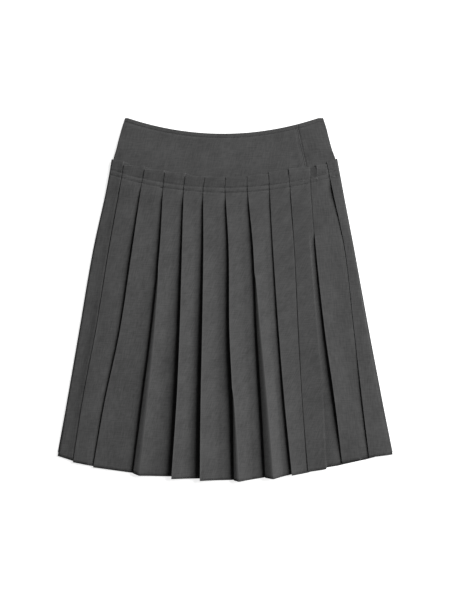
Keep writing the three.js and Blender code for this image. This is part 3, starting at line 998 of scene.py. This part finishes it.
def blend_node(tree, share, first, second):
    """Colour mix by a share; each colour is a socket or a grey."""
    node = tree.nodes.new("ShaderNodeMix")
    node.data_type = "RGBA"
    tree.links.new(share, node.inputs["Factor"])
    for label, value in (("A", first), ("B", second)):
        if isinstance(value, float):
            node.inputs[label].default_value = (value, value, value, 1)
        else:
            tree.links.new(value, node.inputs[label])
    return node.outputs["Result"]


def add_bump(tree, shader, height, strength):
    """Fine relief on the shader's Normal."""
    node = tree.nodes.new("ShaderNodeBump")
    set_inputs(node, {"Strength": strength, "Distance": BUMP_DEPTH})
    tree.links.new(height, node.inputs["Height"])
    tree.links.new(node.outputs[0], shader.inputs["Normal"])

print("relief is", BUMP_DEPTH / MM, "mm deep")

# %% [markdown]
# The cloth is a fine wool suiting in one grey. Close up it is a weave of two threads with a fibre
# haze; from a step away thicker threads show as faint upright and level slubs, and a slow cloud runs
# under them. A node group makes all of it from the UV map, so that every piece can use it with its own
# values. It puts out a tone and a height; the shader itself stays in the material.

# %% Weave group
THREADS_PER_METRE = 1700.0
TWILL_HEIGHT, THREAD_TONE = 0.6, 0.03
# Each row: features a metre along the three axes, detail, and share of the tone
SLUBS_AND_CLOUD = [
    ((420, 55, 1), 3.0, 0.4),
    ((60, 460, 1), 3.0, 0.35),
    ((30, 22, 1), 2.0, 0.25),
]


def build_weave():
    """Tone and height of a weave: two sines across each other, slubs both ways, and a slow cloud."""
    group = bpy.data.node_groups.new("suiting_weave", "ShaderNodeTree")
    group.interface.new_socket("Cloth", in_out="INPUT", socket_type="NodeSocketVector")
    count = group.interface.new_socket("Threads", in_out="INPUT", socket_type="NodeSocketFloat")
    count.default_value = THREADS_PER_METRE
    for label in ("Tone", "Height"):
        group.interface.new_socket(label, in_out="OUTPUT", socket_type="NodeSocketFloat")
    start, end = group.nodes.new("NodeGroupInput"), group.nodes.new("NodeGroupOutput")

    def calculate(operation, *values):
        return math_node(group, operation, *values)

    cloth = start.outputs["Cloth"]
    split = group.nodes.new("ShaderNodeSeparateXYZ")
    group.links.new(cloth, split.inputs[0])
    turns = [calculate("MULTIPLY", split.outputs[k], start.outputs["Threads"]) for k in (0, 1)]
    sines = [calculate("SINE", calculate("MULTIPLY", turn, 2 * math.pi)) for turn in turns]
    twill = calculate("SINE", calculate("MULTIPLY", calculate("ADD", *turns), math.pi))
    threads = calculate("MULTIPLY", *sines)
    height = calculate("ADD", threads, calculate("MULTIPLY", twill, TWILL_HEIGHT))
    parts = [calculate("MULTIPLY", noise_node(group, cloth, stretch, detail), share)
             for stretch, detail, share in SLUBS_AND_CLOUD]
    tone = calculate("MULTIPLY", threads, THREAD_TONE)
    for part in parts:
        tone = calculate("ADD", tone, part)
    group.links.new(tone, end.inputs["Tone"])
    group.links.new(height, end.inputs["Height"])
    return group


WEAVE = build_weave()
print("weave:", len(WEAVE.nodes), "nodes")

# %% [markdown]
# The wool is matt, with a trace of sheen. A painted highlight makes the cloth a little lighter along
# each fold's edge, and the mask for that comes from the mesh. Thread is darker and smoother.

# %% Wool and thread
# The third grey is a painted highlight along each fold's edge, and the fourth number is how much of it
# shows there
WOOL_DARK, WOOL_LIGHT, WOOL_EDGE_HIGHLIGHT, EDGE_HIGHLIGHT_SHARE = 0.046, 0.073, 0.080, 0.7
THREAD_GREY, THREAD_SPREAD = 0.017, 0.25


def suiting(name, dark, light, edge):
    """Matt wool: the weave's tone picks between two greys, and a painted highlight lightens fold edges."""
    material, tree, shader = new_material(name, {
        "Roughness": 0.92, "Specular IOR Level": 0.15, "Sheen Weight": 0.05, "Sheen Roughness": 0.6})
    place = tree.nodes.new("ShaderNodeTexCoord")
    weave = tree.nodes.new("ShaderNodeGroup")
    weave.node_tree = WEAVE
    tree.links.new(place.outputs["UV"], weave.inputs["Cloth"])
    set_inputs(weave, {"Threads": THREADS_PER_METRE})
    ramp = tree.nodes.new("ShaderNodeMapRange")
    set_inputs(ramp, {"From Min": 0.38, "From Max": 0.62})
    tree.links.new(weave.outputs["Tone"], ramp.inputs["Value"])
    # The mask near each fold's edge mixes in the third grey as a painted highlight
    mask = tree.nodes.new("ShaderNodeAttribute")
    mask.attribute_name = "pressed"
    highlight_share = math_node(tree, "MULTIPLY", mask.outputs["Fac"], EDGE_HIGHLIGHT_SHARE)
    highlighted = blend_node(tree, highlight_share, blend_node(tree, ramp.outputs[0], dark, light), edge)
    tree.links.new(highlighted, shader.inputs["Base Color"])
    add_bump(tree, shader, weave.outputs["Height"], 0.25)
    return material


def thread_material(name, grey):
    """Sewing thread: darker and a little smoother than the cloth, with a twist as fine bump."""
    material, tree, shader = new_material(name, {"Roughness": 0.7, "Specular IOR Level": 0.3})
    place = tree.nodes.new("ShaderNodeTexCoord")
    tone = noise_node(tree, place.outputs["Object"], (900, 900, 900), 2.0)
    colour = blend_node(tree, tone, grey * (1 - THREAD_SPREAD), grey * (1 + THREAD_SPREAD))
    tree.links.new(colour, shader.inputs["Base Color"])
    add_bump(tree, shader, tone, 0.4)
    return material


wool = suiting("charcoal_suiting", WOOL_DARK, WOOL_LIGHT, WOOL_EDGE_HIGHLIGHT)
thread = thread_material("charcoal_thread", THREAD_GREY)
print("materials:", [m.name for m in bpy.data.materials])

# %% [markdown]
# Each piece rides on the skirt's one body and stands for its solid, and the size it was cut to is
# worked out and printed. A pleated cut is much wider than it lies: its flat area is that of every layer.

# %% Dress each piece and work out its cut
# Each row: the solid that the piece stands for, how it is held, what it rests on, and its stitches
SHEETS = (
    ("pleats_front", "folded", ("yoke_front", "pleats_back"), header_stitches[:2]),
    ("pleats_side_front", "folded", ("yoke_side_front", "pleats_back"), header_stitches[2:]),
    ("pleats_back", "folded", (), ()),
    ("yoke_front", "laid", ("yoke_back",), [waist_stitches, closure_stitches[0], closure_bar]),
    ("yoke_side_front", "laid", ("yoke_back",), closure_stitches[1:]),
    ("yoke_back", "laid", ("pleats_back",), ()),
)


def flat_cut(face):
    """Size of the cut: the widest section unfolded, the longest side, and the area, in metres."""
    widths = np.linalg.norm(np.diff(face, axis=1), axis=2).sum(axis=1) * MM
    downs = -np.diff(face[:, :, 1].mean(axis=1)) * MM
    area = float((0.5 * (widths[1:] + widths[:-1]) * downs).sum())
    length = float(np.ptp(face[:, :, 1], axis=0).max() * MM)
    return (round(float(widths.max()), 3), round(length, 3)), round(area, 4)


for node, held, rests_on, sewn in SHEETS:
    piece, face = pieces[node]
    piece.data.materials.append(wool)
    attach(piece, "root")
    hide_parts(node)
    for row in sewn:
        row.data.materials.append(thread)
        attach(row, "root")
    flat, area = flat_cut(face)
    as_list(rests_on)
    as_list(sewn)
    print(node, "cut", flat, "m, area", area, "square metres")

# %% [markdown]
# The floor is a plain pale sheet of acrylic with light under it, as on a studio's light table, so that
# shadows on it stay faint. The main lamp is wide and stands off to the upper right, at a middling
# height: it draws each fold with a dark side to its left, while the panels stay even. It is far enough
# away that the light falls off only a little across the skirt. A weak even light fills the shadows.

# %% Floor and light
FLOOR_SIZE = 100.0
LAMP_FROM = Vector((0.69, 0.38, 0.53)).normalized()
LAMP_DISTANCE, LAMP_WIDTH, LAMP_POWER = 5.5, 4.8, 622.0
SKY_STRENGTH = 0.06
FLOOR_GREY, FLOOR_GLOW = 0.6, 0.8

floor = link_mesh(
    "floor",
    np.array([[-1, -1, 0], [1, -1, 0], [1, 1, 0], [-1, 1, 0]]) * FLOOR_SIZE / 2 / MM,
    np.array([[0, 1, 2, 3]]))
floor_paint, _, _ = new_material("pale_floor", {
    "Base Color": (FLOOR_GREY, FLOOR_GREY, FLOOR_GREY, 1), "Roughness": 1.0,
    "Emission Color": (1, 1, 1, 1), "Emission Strength": FLOOR_GLOW})
floor.data.materials.append(floor_paint)

lamp_data = bpy.data.lights.new("key", "AREA")
lamp_data.shape = "DISK"
lamp_data.size = LAMP_WIDTH
lamp_data.energy = LAMP_POWER
lamp = bpy.data.objects.new("key", lamp_data)
lamp.location = LAMP_FROM * LAMP_DISTANCE
lamp.rotation_euler = LAMP_FROM.to_track_quat("Z", "Y").to_euler()
bpy.context.collection.objects.link(lamp)

world = bpy.data.worlds.new("studio")
world.use_nodes = True
set_inputs(world.node_tree.nodes["Background"], {"Color": (1, 1, 1, 1), "Strength": SKY_STRENGTH})
bpy.context.scene.world = world
bpy.context.scene.view_settings.view_transform = "Standard"
print("lamp at", [round(value, 2) for value in lamp.location], "m,", LAMP_POWER, "W")
